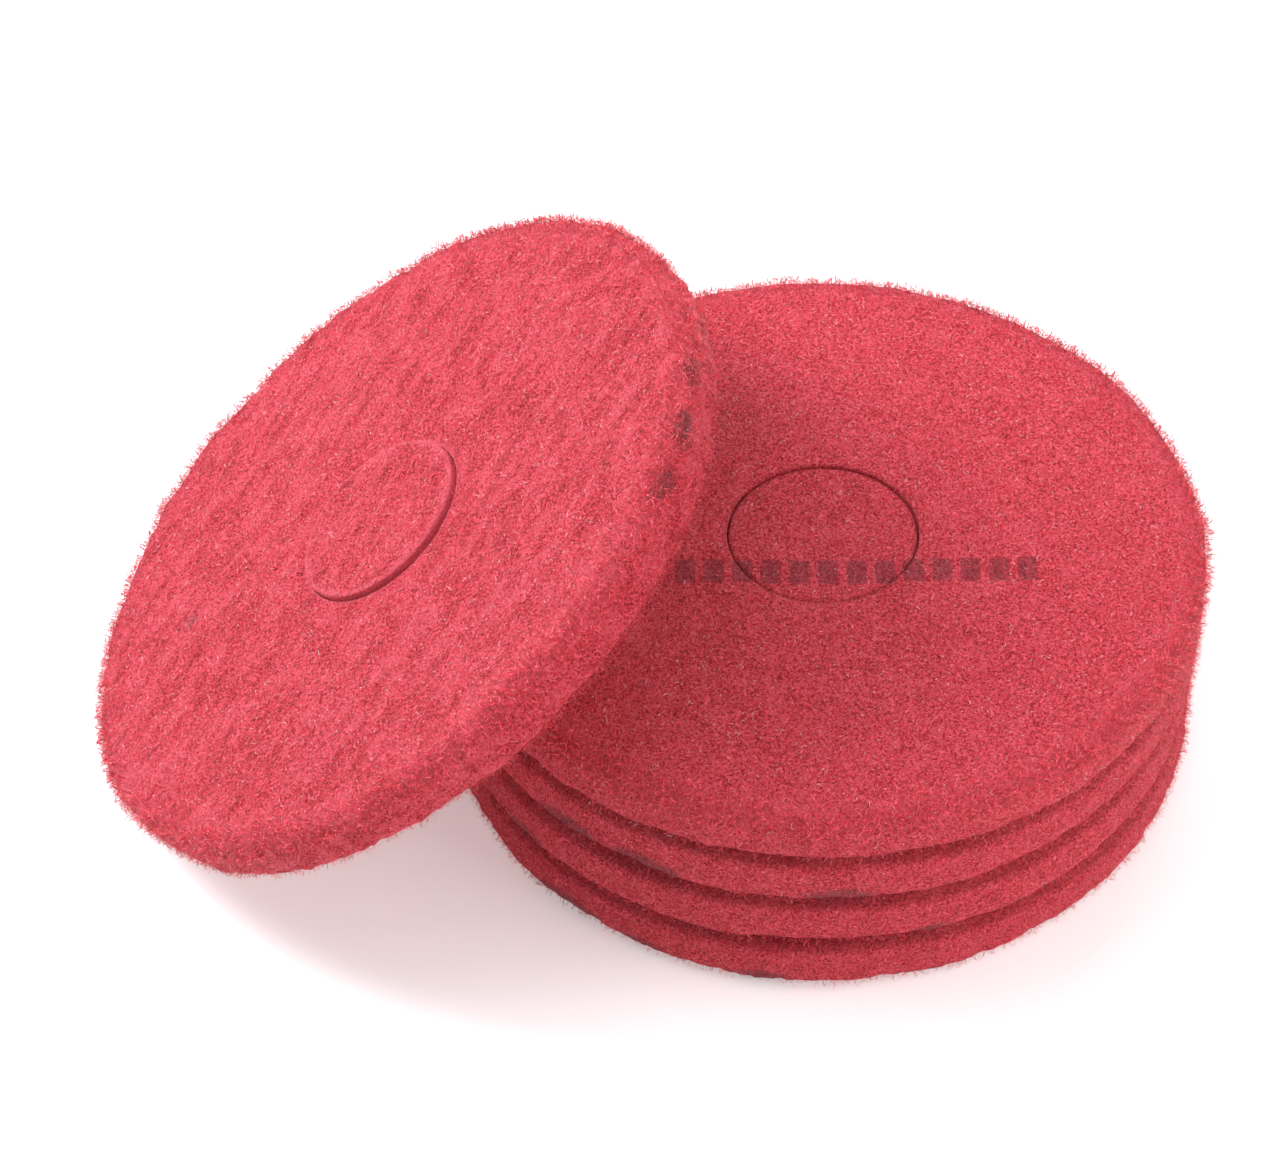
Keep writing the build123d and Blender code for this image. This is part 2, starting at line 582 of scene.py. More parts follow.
# The web's pattern: how wide its features are, and how much each counts in how deep the surface looks
FIBRE_TURNS = (12, 74, 131)  # degrees from the pad's X at which the drawn fibres run
FIBRE_WIDTH, SPECK_WIDTH, PIT_WIDTH, GLINT_WIDTH = 0.5 * MM, 0.95 * MM, 1.25 * MM, 0.9 * MM
CLUMP_WIDTH = 8 * MM
BEND_WIDTH, BEND_REACH = MM / 0.42, 5.5 * MM
FIBRE_STRETCH = (0.28, 1.0, 1.0)
FIBRE_SHARE, SPECK_SHARE, PIT_SHARE = 0.38, 0.95, 0.28
HOLLOW_AT, WEB_AT, BLOOM_AT = 0.26, 0.50, 0.84  # depths at which the web takes these colours

# The painted shade and highlights along a pad's edges: how far from the rim or the face each starts and is full,
# and how strong it is
# Painted shade in the creases between pads
CREASE_SHADE_FROM_RIM, CREASE_SHADE_FROM_FACE, CREASE_SHADE = (8 * MM, 5 * MM), (6 * MM, 2 * MM), 0.55
# Painted highlight on a bare pad's upper edge
EDGE_HIGHLIGHT_FROM_RIM, EDGE_HIGHLIGHT_FROM_FACE, EDGE_HIGHLIGHT_SHARE = (16 * MM, 5 * MM), (8 * MM, 3 * MM), 0.35
# Painted shade round a sunk disc and a painted highlight on a proud disc's lip
SEAM_WIDTH, SEAM_WANDER, SUNK_SEAM_SHADE, PROUD_SEAM_HIGHLIGHT = (1 * MM, 4 * MM), 1.5 * MM, 0.3, 0.7


def drawn_fibres(tree, place, turn, seed):
    """Wandering fibres that run one way in the plane of the pad, as a value from 0 to 1."""
    bend = tree.noise(place, seed, 1 / BEND_WIDTH, 1.0).node.outputs["Color"]
    bend = tree.scale(tree.vector("SUBTRACT", bend, (0.5, 0.5, 0.5)), BEND_REACH)
    spun = tree.spin(tree.vector("ADD", place, bend), turn)
    drawn_out = tree.vector("MULTIPLY", spun, FIBRE_STRETCH)
    return tree.remap(tree.noise(drawn_out, seed + 3.7, 1 / FIBRE_WIDTH, 1.0, 0.6), 0.48, 0.66)


def own_coordinates(tree, pad):
    """The pad's own coordinates as a vector socket."""
    matrix = pad_place(pad)
    place = tree.node(
        "ShaderNodeMapping",
        {"Vector": tree.node("ShaderNodeTexCoord").outputs["Object"],
         "Location": matrix.to_translation(), "Rotation": matrix.to_euler()},
        vector_type="TEXTURE",
    )
    return place.outputs[0]


def edge_shading(tree, pad, place, speck, result):
    """Paints shade into the creases between pads and a highlight on a bare pad's upper edge, and round the disc
    paints shade, or on the leaning pad a highlight on its proud disc's lip.
    """
    colours = bpy.context.scene.floor_pad_colours
    bare = FINISHES[pad].bare
    height = tree.node("ShaderNodeSeparateXYZ", {"Vector": place}).outputs["Z"]
    radius = tree.length(tree.vector("MULTIPLY", place, (1.0, 1.0, 0.0)))

    def band(value, middle, width, most=1.0):
        """Rises from nothing to most as value nears middle."""
        return tree.remap(value, middle - width[0], middle - width[1], 0, most)

    # Painted shade: darker near the rim where a face meets the next pad, in the crease between them
    if pad != LEANING:
        covered = tree.math("MULTIPLY", height, -1.0) if bare else tree.math("ABSOLUTE", height)
        covered = band(covered, HALF_THICKNESS, CREASE_SHADE_FROM_FACE, CREASE_SHADE)
        crease_shade = tree.math("MULTIPLY", band(radius, PAD_RADIUS, CREASE_SHADE_FROM_RIM), covered)
        result = tree.blend(crease_shade, result, colours.hollow_shade)
    # Painted highlight: a bare pad's upper edge is made lighter, as where it catches the light
    if bare:
        upper = band(height, HALF_THICKNESS, EDGE_HIGHLIGHT_FROM_FACE)
        edge_highlight = tree.math("MULTIPLY", band(radius, PAD_RADIUS, EDGE_HIGHLIGHT_FROM_RIM, EDGE_HIGHLIGHT_SHARE), upper)
        result = tree.blend(edge_highlight, result, colours.bloom_highlight)
    # Painted shade round the disc, and on the leaning pad a painted highlight on the lip of its proud disc
    seam = tree.math("ABSOLUTE", tree.math("SUBTRACT", radius, DISC_RADIUS))
    seam = tree.math("ADD", seam, tree.math("MULTIPLY", speck, SEAM_WANDER))
    seam_shading_colour, most = (colours.hollow_shade, SUNK_SEAM_SHADE)
    if pad == LEANING:
        seam_shading_colour, most = (colours.bloom_highlight, PROUD_SEAM_HIGHLIGHT)
    return tree.blend(tree.remap(seam, *SEAM_WIDTH, most, 0), result, seam_shading_colour)


def smudged(tree, pad, place, speck, clump, result):
    """Works a pad's dirt into its colour."""
    dirt = 0.0
    for spot, radius in smudge_spots(pad):
        offset = tree.vector("MULTIPLY", tree.vector("SUBTRACT", place, spot), SMUDGE_SQUASH)
        away = tree.math("ADD", tree.length(offset), tree.math("MULTIPLY", clump, SMUDGE_WANDER))
        faded = tree.remap(away, radius + SMUDGE_FADE[0], radius + SMUDGE_FADE[1], 1, 0)
        dirt = tree.math("MAXIMUM", dirt, faded)
    dirt = tree.math("MULTIPLY", dirt, tree.remap(speck, 0.3, 0.7, 0.3, 0.85))
    return tree.blend(dirt, result, bpy.context.scene.floor_pad_colours.smudge)


def ink_marks(tree, place):
    """A row of plain faded dashes across the lower half of a pad's upper face, as a value from 0 to 1."""
    axes = tree.node("ShaderNodeSeparateXYZ", {"Vector": place}).outputs
    along = tree.math("WRAP", axes["X"], INK_START + INK_PITCH, INK_START)
    off_row = tree.math("ABSOLUTE", tree.math("SUBTRACT", axes["Y"], INK_ROW_Y))
    limits = (
        tree.remap(along, INK_START + INK_DASH, INK_START + INK_DASH + INK_BLUR, 1, 0),
        tree.remap(along, INK_START, INK_START + INK_BLUR),
        tree.remap(axes["X"], INK_START - INK_END_BLUR, INK_START),
        tree.remap(axes["X"], INK_END, INK_END + INK_END_BLUR, 1, 0),
        tree.remap(off_row, INK_HEIGHT / 2 - 1 * MM, INK_HEIGHT / 2 + 1 * MM, 1, 0),
        tree.remap(axes["Z"], HALF_THICKNESS - 6 * MM, HALF_THICKNESS - 4 * MM),
    )
    inside = 1.0
    for limit in limits:
        inside = tree.math("MULTIPLY", inside, limit)
    return inside


def web_material(pad):
    """The dyed open web of one pad and its disc, with the pad's own dirt and marks, and painted shade and
    highlights.
    """
    colours = bpy.context.scene.floor_pad_colours
    finish = FINISHES[pad]
    seed = 2.3 * PADS.index(pad)
    material = bpy.data.materials.new(f"{pad} web")
    material.use_nodes = True
    tree = Tree(material.node_tree)
    tree.tree.nodes.clear()
    place = own_coordinates(tree, pad)

    fibres = 0.0
    for index, degrees in enumerate(FIBRE_TURNS):
        layer = drawn_fibres(tree, place, math.radians(degrees), seed + 11.0 * index)
        fibres = tree.math("MAXIMUM", fibres, layer)
    speck = tree.noise(place, seed, 1 / SPECK_WIDTH, 3.0, 0.8)
    streaked = tree.vector("MULTIPLY", tree.spin(place, STREAK_TURN), (finish.streak, 1.0, 1.0))
    clump = tree.noise(streaked, seed + 5.0, 1 / CLUMP_WIDTH, 3.0, 0.65)
    pits = tree.remap(tree.noise(place, seed + 7.0, 1 / PIT_WIDTH, 2.0, 0.6), 0.38, 0.56, 1, 0)
    depth = tree.math("MULTIPLY", fibres, FIBRE_SHARE)
    depth = tree.math("ADD", depth, tree.math("MULTIPLY", speck, SPECK_SHARE))
    depth = tree.math("SUBTRACT", depth, tree.math("MULTIPLY", pits, PIT_SHARE))
    depth = tree.math("ADD", depth, tree.remap(clump, 0.3, 0.7, -finish.patchiness, finish.patchiness))

    # The ramp runs from painted shade in the pits through the web's own red to a painted highlight on raised
    # fibre ends; its noise also gives the web random tone
    shades = tree.node("ShaderNodeValToRGB", {"Fac": depth})
    stops = shades.color_ramp.elements
    stops[0].position, stops[0].color = HOLLOW_AT, (*colours.hollow_shade, 1)
    stops[1].position, stops[1].color = BLOOM_AT, (*colours.bloom_highlight, 1)
    stops.new(WEB_AT).color = (*colours.web, 1)
    # Painted highlight: scattered pale specks stand in for glints, partly real resin
    glint = tree.remap(tree.noise(place, seed + 9.0, 1 / GLINT_WIDTH, 0.0), 0.80, 0.84)
    result = tree.blend(glint, shades.outputs["Color"], colours.glint)
    result = edge_shading(tree, pad, place, speck, result)
    result = smudged(tree, pad, place, speck, clump, result)
    if pad == TOP:
        faded = tree.math("MULTIPLY", ink_marks(tree, place), tree.remap(speck, 0.35, 0.65, 0.25, 0.65))
        result = tree.blend(faded, result, colours.ink)

    relief = tree.math("SUBTRACT", tree.math("ADD", fibres, speck), tree.math("MULTIPLY", pits, 1.2))
    bump = tree.node("ShaderNodeBump", {"Strength": 0.9, "Distance": 0.8 * MM, "Height": relief})
    surface = tree.node(
        "ShaderNodeBsdfPrincipled",
        {
            "Base Color": result,
            "Roughness": tree.remap(depth, 0.2, 0.9, 0.85, 0.5),
            "Normal": bump.outputs[0],
            "Sheen Weight": 0.04,
            "Sheen Roughness": 0.45,
            "Sheen Tint": (1.0, 0.72, 0.74, 1.0),
            "Specular IOR Level": 0.35,
        },
    )
    tree.node("ShaderNodeOutputMaterial", {"Surface": surface.outputs[0]})


def fibre_material(name, base):
    """Dyed fibre of one shade."""
    material = bpy.data.materials.new(name)
    material.use_nodes = True
    shader = material.node_tree.nodes["Principled BSDF"]
    shader.inputs["Base Color"].default_value = (*base, 1)
    shader.inputs["Roughness"].default_value = 0.27
    shader.inputs["Specular IOR Level"].default_value = 1.0
    shader.inputs["Sheen Weight"].default_value = 0.03
    shader.inputs["Sheen Roughness"].default_value = 0.4


def strand(name, path, width):
    """One closed fibre along a path: three-sided, thickest between its ends and pointed at both."""
    path = np.array(path)
    inner = path[1:-1]
    along = np.gradient(path, axis=0)[1:-1]
    along /= np.linalg.norm(along, axis=1)[:, None]
    side = np.cross(along, (0.0, 0.0, 1.0))
    side /= np.linalg.norm(side, axis=1)[:, None]
    up = np.cross(side, along)
    turns = 2 * math.pi / 3 * np.arange(3)
    rings = [
        spot + width / 2 * (math.cos(turn) * across + math.sin(turn) * rise)
        for spot, across, rise in zip(inner, side, up)
        for turn in turns
    ]
    start, end = len(rings), len(rings) + 1
    last = 3 * len(inner) - 3
    faces = []
    for corner in range(3):
        beside = (corner + 1) % 3
        faces.append((start, beside, corner))
        for this in range(0, last, 3):
            following = this + 3
            faces.append((this + corner, this + beside, following + beside, following + corner))
        faces.append((end, last + corner, last + beside))
    mesh = bpy.data.meshes.new(name)
    mesh.from_pydata([*rings, path[0], path[-1]], [], faces)
    mesh.polygons.foreach_set("use_smooth", np.ones(len(mesh.polygons), bool))
    fixed = bmesh.new()
    fixed.from_mesh(mesh)
    bmesh.ops.recalc_face_normals(fixed, faces=fixed.faces)
    fixed.to_mesh(mesh)
    fixed.free()
    return mesh


STRAND_KINDS = 16  # differently bent fibres in a collection
STRAND_ROOT = (-0.25 * MM, 0.0, -0.35 * MM)  # just under the surface that a fibre stands out of


def strand_collection(name, segments, reach, width, curl, seed):
    """A collection of differently bent fibres, each starting at the origin and running along +X."""
    rng = np.random.default_rng(seed)
    collection = bpy.data.collections.new(name)
    for index in range(STRAND_KINDS):
        heading, climb = 0.0, rng.uniform(0.0, 0.35)
        path = [np.array(STRAND_ROOT)]
        for _ in range(segments):
            step = reach / segments * rng.uniform(0.8, 1.2)
            level = math.cos(climb)
            way = np.array((level * math.cos(heading), level * math.sin(heading), math.sin(climb)))
            path.append(path[-1] + step * way)
            heading += rng.normal(0, curl)
            climb -= abs(rng.normal(0.3, 0.3)) * curl
        made = bpy.data.objects.new(f"{name} {index}", strand(f"{name} {index}", path, width))
        collection.objects.link(made)
    return collection


def drop_strands(collection):
    """Deletes a strand collection and its objects once the fibres are real meshes."""
    for made in list(collection.objects):
        mesh = made.data
        bpy.data.objects.remove(made)
        bpy.data.meshes.remove(mesh)
    bpy.data.collections.remove(collection)


def fibre_tree():
    """Scatters bent fibres where the stored coat says, spins and tilts them, and gives each its own shade."""
    tree = GeometryTree("web fibres")
    strands = tree.input("Strands", "NodeSocketCollection")
    fibre_density, shade_shift = tree.input("Density"), tree.input("Shade shift")
    clump_size, clumping = tree.input("Clump size"), tree.input("Clumping")
    least_tilt, most_tilt = tree.input("Least tilt"), tree.input("Most tilt")
    least_size, most_size = tree.input("Least size"), tree.input("Most size")
    seed = tree.input("Seed", "NodeSocketInt")

    def random(offset, low, high, kind="FLOAT"):
        """A number between low and high for each fibre, drawn anew for each offset."""
        low_socket, high_socket, result_socket = {"FLOAT": (2, 3, 1), "INT": (4, 5, 2)}[kind]
        own_seed = tree.math("ADD", seed, float(offset))
        made = tree.node("FunctionNodeRandomValue", {"Seed": own_seed}, data_type=kind)
        tree.feed(made.inputs[low_socket], low)
        tree.feed(made.inputs[high_socket], high)
        return made.outputs[result_socket]

    position = tree.node("GeometryNodeInputPosition").outputs[0]
    clump = tree.noise(position, seed, tree.math("DIVIDE", 1.0, clump_size), 2.0)
    gaps = tree.math("SUBTRACT", 1.0, tree.math("MULTIPLY", clumping, tree.remap(clump, 0.35, 0.62, 1, 0)))
    spread = tree.math("MULTIPLY", tree.math("MULTIPLY", fibre_density, tree.stored("coat")), gaps)
    scatter = tree.node(
        "GeometryNodeDistributePointsOnFaces",
        {"Mesh": tree.entry.outputs[0], "Density": spread, "Seed": seed},
        distribute_method="RANDOM",
    ).outputs
    tilt = tree.math("MULTIPLY", random(1, least_tilt, most_tilt), -1.0)
    turn = tree.node(
        "ShaderNodeCombineXYZ", {"X": random(2, -0.5, 0.5), "Y": tilt, "Z": random(3, 0.0, 2 * math.pi)}
    ).outputs[0]
    leaned = tree.node(
        "FunctionNodeRotateRotation",
        {"Rotation": scatter["Rotation"],
         "Rotate By": tree.node("FunctionNodeEulerToRotation", {0: turn}).outputs[0]},
        rotation_space="LOCAL",
    ).outputs[0]
    kinds = tree.node(
        "GeometryNodeCollectionInfo",
        {"Collection": strands, "Separate Children": True, "Reset Children": True},
        transform_space="ORIGINAL",
    ).outputs[0]
    placed = tree.node(
        "GeometryNodeInstanceOnPoints",
        {"Points": scatter["Points"], "Instance": kinds, "Pick Instance": True,
         "Instance Index": random(4, 0, 1000, "INT"), "Rotation": leaned,
         "Scale": random(5, least_size, most_size)},
    ).outputs[0]

    shade = tree.math("ADD", random(6, 0.0, 1.0), tree.remap(clump, 0.3, 0.7, -0.11, 0.10))
    shade = tree.math("ADD", shade, shade_shift)
    soiled = tree.math("LESS_THAN", random(7, 0.0, 1.0), tree.stored("dirt"))
    shade = tree.math("SUBTRACT", shade, tree.math("MULTIPLY", SOILED_DROP, soiled))
    result = tree.node(
        "GeometryNodeStoreNamedAttribute", {"Geometry": placed, "Name": "shade", "Value": shade},
        data_type="FLOAT", domain="INSTANCE",
    ).outputs[0]
    result = tree.node("GeometryNodeRealizeInstances", {"Geometry": result}).outputs[0]
    result = tree.node(
        "GeometryNodeSetMaterial", {"Geometry": result, "Material": bpy.data.materials[SOILED_FIBRE[0]]}
    ).outputs[0]
    shade, lowest = tree.stored("shade"), LEAST_SHADE
    for name, _, highest in FIBRE_SHADES:
        above, below = tree.math("GREATER_THAN", shade, lowest), tree.math("LESS_THAN", shade, highest)
        result = tree.node(
            "GeometryNodeSetMaterial",
            {"Geometry": result, "Selection": tree.math("MULTIPLY", above, below),
             "Material": bpy.data.materials[name]},
        ).outputs[0]
        lowest = highest
    tree.feed(tree.exit.inputs[0], result)
    return tree.tree


def fibre_piece(name, web, pad, body, coat, dirt, values):
    """The loose fibres on a web piece, as one piece on the same body.

    coat and dirt say, for each point of the web, how thickly fibres stand there and what share is soiled.
    """
    mesh = own_mesh(web, pad)
    write_values(mesh, "coat", coat)
    write_values(mesh, "dirt", dirt)
    made = run_tree(bpy.data.node_groups.get("web fibres") or fibre_tree(), mesh, values)
    triangles = sum(len(face.vertices) - 2 for face in made.polygons)
    if not 0 < triangles < MOST_TRIANGLES:
        raise RuntimeError(f"{name} has {triangles} triangles")
    finish_piece(name, made, pad, body)


def soiling(pad, points):
    """The share of soiled fibres at each point of a pad."""
    dirt = np.zeros(len(points))
    for spot, radius in smudge_spots(pad):
        away = np.linalg.norm((points - spot) * SMUDGE_SQUASH, axis=1)
        dirt = np.maximum(dirt, 0.5 * ramp(away, radius + 4 * MM, radius - 6 * MM))
    if pad == TOP:
        dirt = np.maximum(dirt, INK_FIBRES * inked(points))
    return dirt


def inked(points):
    """Which points of the top pad lie in a dash."""
    along = (points[:, 0] - INK_START) % INK_PITCH
    inside = (along < INK_DASH) & (points[:, 0] > INK_START) & (points[:, 0] < INK_END)
    return inside & (np.abs(points[:, 1] - INK_ROW_Y) < INK_HEIGHT / 2) & (points[:, 2] > HALF_THICKNESS / 2)


# Where the coats of loose fibres start and are full, measured from the rim's rounding, a covered face or the rim
RIM_COAT, CREASE_COAT, FRINGE_COAT = (4 * MM, 2 * MM), (1.5 * MM, 4.5 * MM), (10 * MM, 6 * MM)
FRINGE_FADE = 1 * MM


def ring_fibres(pad, coats):
    """The fibres on a pad's side and, where it is bare, on its upper edge and its face, and on the leaning pad's
    back.
    """
    fibres, shape = bpy.context.scene.floor_pad_fibres, bpy.context.scene.floor_pad_shape
    finish, seed, half = FINISHES[pad], 10 * PADS.index(pad), HALF_THICKNESS
    web = bpy.data.objects[f"{pad}_web"]
    points = own_points(web, pad)
    radius, height = from_axis(points), points[:, 2]
    dirt = soiling(pad, points)

    def coat_piece(kind, coat, values):
        """One piece of fibres on this pad."""
        fibre_piece(f"{pad}_{kind}_fibres", web, pad, pad, coat, dirt, values)

    rim_start = PAD_RADIUS - shape.rim_rounding
    edge = ramp(radius, rim_start - RIM_COAT[0], rim_start + RIM_COAT[1])
    side = edge.copy()
    if pad != LEANING:
        side *= ramp(height, CREASE_COAT[0] - half, CREASE_COAT[1] - half)
    if not finish.bare:
        side *= ramp(height, half - CREASE_COAT[0], half - CREASE_COAT[1])
    # Painted shade: the fibres on the side are made darker by the pad's shift
    coat_piece("rim", side, coats["rim"] | {"Seed": seed, "Shade shift": finish.painted_side_shade})

    hole = DISC_RADIUS + shape.disc_clearance + shape.lip_rounding
    flat = (1 - edge) * ramp(radius, hole, hole + fibres.lip_margin)
    if finish.bare:
        corner_start = half - shape.rim_rounding
        corner = ramp(radius, PAD_RADIUS - FRINGE_COAT[0], PAD_RADIUS - FRINGE_COAT[1])
        corner *= ramp(height, corner_start - FRINGE_FADE, corner_start + FRINGE_FADE)
        coat_piece("edge", corner, coats["fringe"] | {"Seed": seed + 4})
        coat_piece("face", flat * (height > half / 2), coats["face"] | {"Seed": seed + 1})
    if pad == LEANING:
        back = {"Seed": seed + 2, "Density": fibres.back_density}
        coat_piece("back", flat * (height < -half / 2), coats["face"] | back)


def disc_fibres(pad, coats):
    """The fibres on a bare centre disc's upper face."""
    fibres, shape = bpy.context.scene.floor_pad_fibres, bpy.context.scene.floor_pad_shape
    node = f"{pad}_centre_disc"
    web = bpy.data.objects[f"{node}_web"]
    points = own_points(web, pad)
    inner = DISC_RADIUS - shape.disc_rounding / 2
    upper = ramp(from_axis(points), inner, inner - fibres.lip_margin) * (points[:, 2] > 0)
    dirt = INK_FIBRES * inked(points) if pad == TOP else np.zeros(len(points))
    values = coats["face"] | {"Seed": 10 * PADS.index(pad) + 3}
    fibre_piece(f"{node}_fibres", web, pad, node, upper, dirt, values)


class FLOORPADS_OT_materials(bpy.types.Operator):
    """Make the web of each pad, with its own dirt and marks, and the shades of loose fibre"""

    bl_idname = "floor_pads.materials"
    bl_label = "Materials"

    def execute(self, context):
        for pad in PADS:
            web_material(pad)
        fibre_material(*SOILED_FIBRE)
        for name, base, _ in FIBRE_SHADES:
            fibre_material(name, base)
        return {"FINISHED"}


class FLOORPADS_OT_pads(bpy.types.Operator):
    """Make every pad's ring of web"""

    bl_idname = "floor_pads.pads"
    bl_label = "Pads"

    bare_turns, covered_turns = 560, 460

    def execute(self, context):
        shape = context.scene.floor_pad_shape
        hole = DISC_RADIUS + shape.disc_clearance
        rim = shape.rim_rounding
        for seed, (pad, finish) in enumerate(FINISHES.items()):
            upper_step = shape.fine_step if finish.bare else shape.coarse_step
            section = ring_section(shape, upper_step, finish.dip)
            mesh = turned(pad, section, self.bare_turns if finish.bare else self.covered_turns, closed=True)
            points = mesh_points(mesh)
            radius = from_axis(points)
            clear_of_hole = ramp(radius, hole + CUT_CALM[0], hole + CUT_CALM[1])
            side = SIDE_RELIEF * ramp(radius, PAD_RADIUS - 2 * rim, PAD_RADIUS - rim / 2)
            upper = ramp(points[:, 2], 0, HALF_THICKNESS) if finish.bare else 0 * radius
            relief = clear_of_hole * np.maximum(np.maximum(side, upper), COVERED_RELIEF)
            finish_piece(f"{pad}_web", web_mesh(pad, mesh, relief, seed), pad, pad, node=pad)
        return {"FINISHED"}


class FLOORPADS_OT_discs(bpy.types.Operator):
    """Make the die-cut disc in every pad's hole"""

    bl_idname = "floor_pads.discs"
    bl_label = "Centre discs"

    bare_turns, covered_turns = 200, 120
    first_seed = 20

    def execute(self, context):
        shape = context.scene.floor_pad_shape
        for seed, (pad, finish) in enumerate(FINISHES.items(), self.first_seed):
            node = f"{pad}_centre_disc"
            thickness = PAD_THICKNESS if pad == LEANING else DISC_THICKNESS
            section = disc_section(shape, thickness, shape.fine_step if finish.bare else shape.coarse_step)
            mesh = turned(node, section, self.bare_turns if finish.bare else self.covered_turns, closed=False)
            points = mesh_points(mesh)
            relief = ramp(from_axis(points), DISC_RADIUS - CUT_CALM[0], DISC_RADIUS - CUT_CALM[1])
            relief *= ramp(points[:, 2], 0, thickness / 2) if finish.bare else COVERED_RELIEF
            made = web_mesh(pad, mesh, relief, seed)
            made.transform(Matrix.Translation((0, 0, disc_lift(pad))))
            finish_piece(f"{node}_web", made, pad, node, node=node)
        return {"FINISHED"}


class FLOORPADS_OT_fibres(bpy.types.Operator):
    """Make the loose fibres on every pad's side and on the faces that show"""

    bl_idname = "floor_pads.fibres"
    bl_label = "Loose fibres"

    def execute(self, context):
        fibres = context.scene.floor_pad_fibres
        lying = strand_collection("lying strand", 2, fibres.face_reach, fibres.width, curl=1.3, seed=4)
        curly = strand_collection("curly strand", 3, fibres.rim_reach, fibres.width, curl=1.25, seed=5)
        fine = strand_collection("fine strand", 2, fibres.rim_reach, 1.4 * fibres.width, curl=1.3, seed=6)
        coats = {
            "face": {
                "Strands": lying, "Density": fibres.face_density, "Clump size": 5 * MM, "Clumping": 0.35,
                "Least tilt": 0.0, "Most tilt": fibres.face_tilt, "Least size": 0.6, "Most size": 1.35,
                "Shade shift": 0.0,
            },
            "rim": {
                "Strands": curly, "Density": fibres.rim_density, "Clump size": 6 * MM, "Clumping": 0.6,
                "Least tilt": 0.35, "Most tilt": fibres.rim_tilt, "Least size": 0.45, "Most size": 1.0,
            },
            "fringe": {
                "Strands": fine, "Density": fibres.edge_density, "Clump size": 5 * MM, "Clumping": 0.8,
                "Least tilt": 0.4, "Most tilt": fibres.rim_tilt, "Least size": 0.4, "Most size": 1.5,
                "Shade shift": -0.15,
            },
        }
        for pad, finish in FINISHES.items():
            ring_fibres(pad, coats)
            if finish.bare:
                disc_fibres(pad, coats)
        for strands in (lying, curly, fine):
            drop_strands(strands)
        return {"FINISHED"}


def make_floor(studio):
    """The plain pale floor, which glows a little so that it stays pale."""
    reach = FLOOR_REACH
    mesh = bpy.data.meshes.new("floor")
    corners = [(-reach, -reach, 0), (reach, -reach, 0), (reach, reach, 0), (-reach, reach, 0)]
    mesh.from_pydata(corners, [], [(0, 1, 2, 3)])
    floor = bpy.data.objects.new("floor", mesh)
    bpy.context.scene.collection.objects.link(floor)
    pale = bpy.data.materials.new("pale floor")
    pale.use_nodes = True
    shader = pale.node_tree.nodes["Principled BSDF"]
    shader.inputs["Base Color"].default_value = (*studio.floor, 1)
    shader.inputs["Roughness"].default_value = 0.9
    shader.inputs["Specular IOR Level"].default_value = 0.1
    shader.inputs["Emission Color"].default_value = (1.0, 1.0, 1.0, 1)
    shader.inputs["Emission Strength"].default_value = studio.floor_glow
    mesh.materials.append(pale)


def make_world(studio):
    """Faint light from all round, which the camera sees as a white backdrop."""
    world = bpy.data.worlds.new("studio")
    world.use_nodes = True
    tree = Tree(world.node_tree)
    background = world.node_tree.nodes["Background"]
    seen = tree.node("ShaderNodeLightPath").outputs["Is Camera Ray"]
    strength = tree.remap(seen, 0.0, 1.0, studio.ambient, BACKDROP_STRENGTH, kind="LINEAR")
    tree.feed(background.inputs["Strength"], strength)
    background.inputs["Color"].default_value = (1.0, 1.0, 1.0, 1)
    bpy.context.scene.world = world


def softbox(name, spot, aim, width, power, tint):
    """A square area light at spot that faces aim."""
    light = bpy.data.lights.new(name, "AREA")
    light.size = width
    light.energy = power
    light.color = tint
    box = bpy.data.objects.new(name, light)
    box.location = spot
    box.rotation_euler = (aim - Vector(spot)).to_track_quat("-Z", "Y").to_euler()
    bpy.context.scene.collection.objects.link(box)


def make_camera(studio):
    """The camera, which looks at the target from its azimuth and elevation."""
    turn = Euler((math.pi / 2 - studio.elevation, 0, studio.azimuth)).to_matrix()
    turn = turn @ Matrix.Rotation(studio.roll, 3, "Z")
    data = bpy.data.cameras.new("camera")
    data.lens = studio.lens
    data.sensor_width = 36.0
    camera = bpy.data.objects.new("camera", data)
    spot = Vector(studio.target) + turn @ Vector((0, 0, studio.reach))
    camera.matrix_world = Matrix.Translation(spot) @ turn.to_4x4()
    bpy.context.scene.collection.objects.link(camera)
    bpy.context.scene.camera = camera


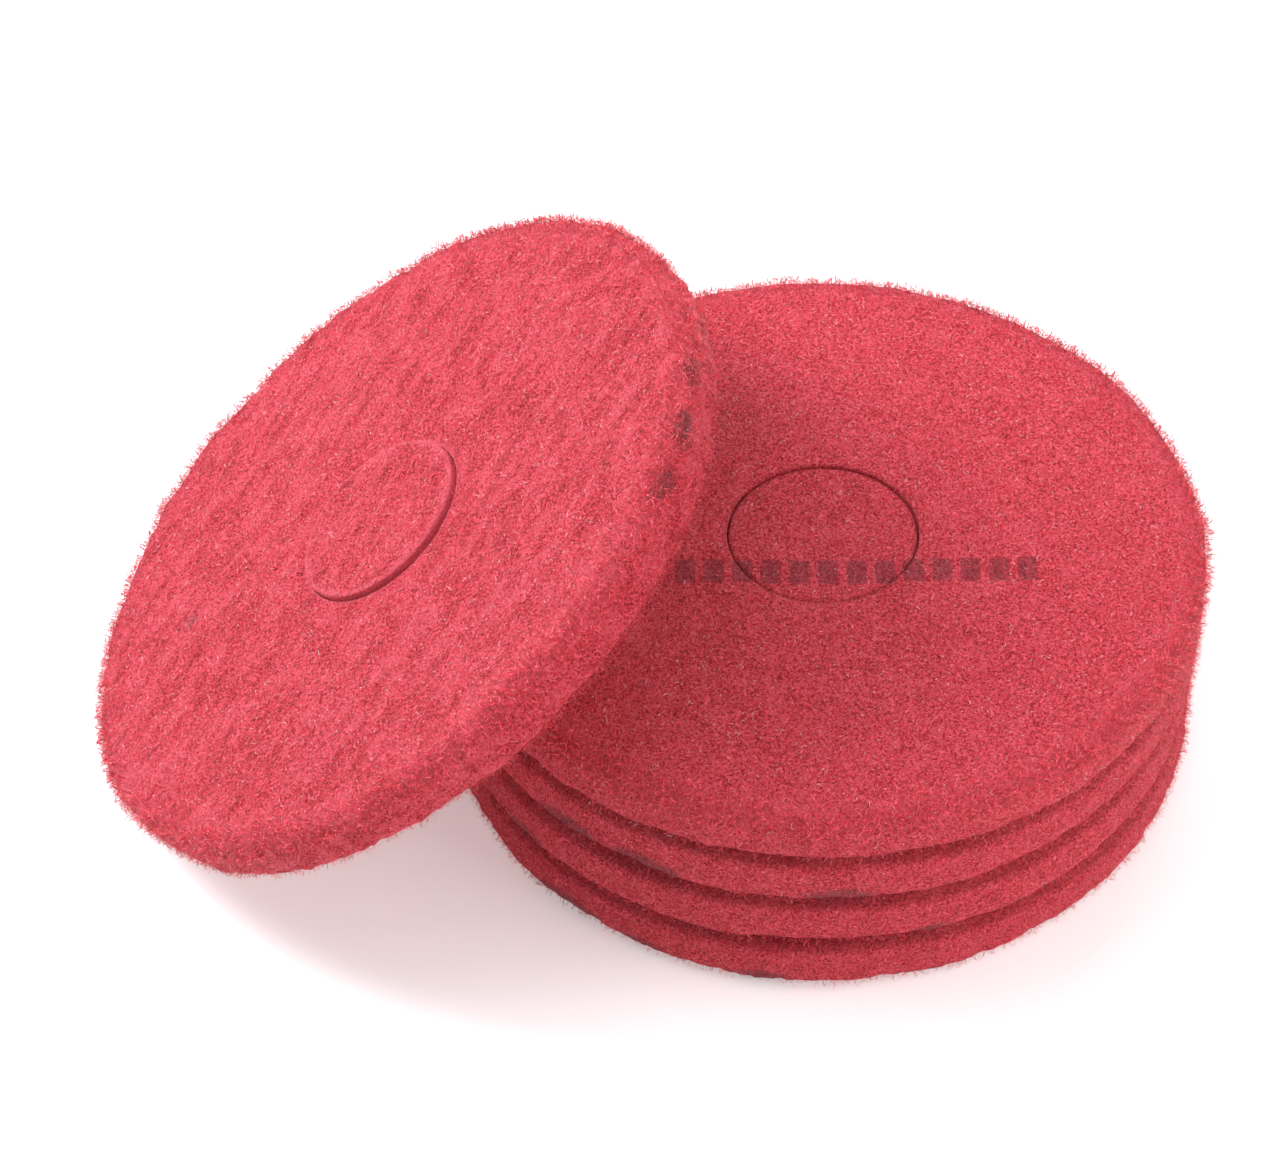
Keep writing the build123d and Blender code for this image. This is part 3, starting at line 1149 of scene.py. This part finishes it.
class FLOORPADS_OT_stage(bpy.types.Operator):
    """Make the floor, the lights and the camera"""

    bl_idname = "floor_pads.stage"
    bl_label = "Stage"

    def execute(self, context):
        studio = context.scene.floor_pad_studio
        make_floor(studio)
        make_world(studio)
        for name, spot, width, power, tint in SOFTBOXES:
            softbox(name, spot, Vector(studio.target), width, power, tint)
        make_camera(studio)
        context.scene.view_settings.view_transform = "Standard"
        return {"FINISHED"}


OPERATORS = (
    FLOORPADS_OT_materials,
    FLOORPADS_OT_pads,
    FLOORPADS_OT_discs,
    FLOORPADS_OT_fibres,
    FLOORPADS_OT_stage,
)
GROUPS = {
    "floor_pad_shape": FloorPadShape,
    "floor_pad_fibres": FloorPadFibres,
    "floor_pad_colours": FloorPadColours,
    "floor_pad_studio": FloorPadStudio,
}


class FLOORPADS_PT_panel(bpy.types.Panel):
    """Lists the set's operators and their settings"""

    bl_idname = "FLOORPADS_PT_panel"
    bl_label = "Floor Pads"
    bl_space_type = "VIEW_3D"
    bl_region_type = "UI"
    bl_category = "Floor Pads"

    def draw(self, context):
        for operator in OPERATORS:
            self.layout.operator(operator.bl_idname)
        for name, group in GROUPS.items():
            box = self.layout.box()
            box.label(text=group.__doc__)
            for setting in group.__annotations__:
                box.prop(getattr(context.scene, name), setting)


def register():
    """Registers the classes and puts the settings on the scene."""
    for made in (*GROUPS.values(), *OPERATORS, FLOORPADS_PT_panel):
        bpy.utils.register_class(made)
    for name, group in GROUPS.items():
        setattr(bpy.types.Scene, name, bpy.props.PointerProperty(type=group))


def unregister():
    """Takes the settings and the classes away again."""
    for name in GROUPS:
        delattr(bpy.types.Scene, name)
    for made in (FLOORPADS_PT_panel, *reversed(OPERATORS), *GROUPS.values()):
        bpy.utils.unregister_class(made)


def main():
    """Builds the whole set."""
    register()
    bpy.ops.floor_pads.materials()
    bpy.ops.floor_pads.pads()
    bpy.ops.floor_pads.discs()
    bpy.ops.floor_pads.fibres()
    bpy.ops.floor_pads.stage()


if __name__ == "__main__":
    main()
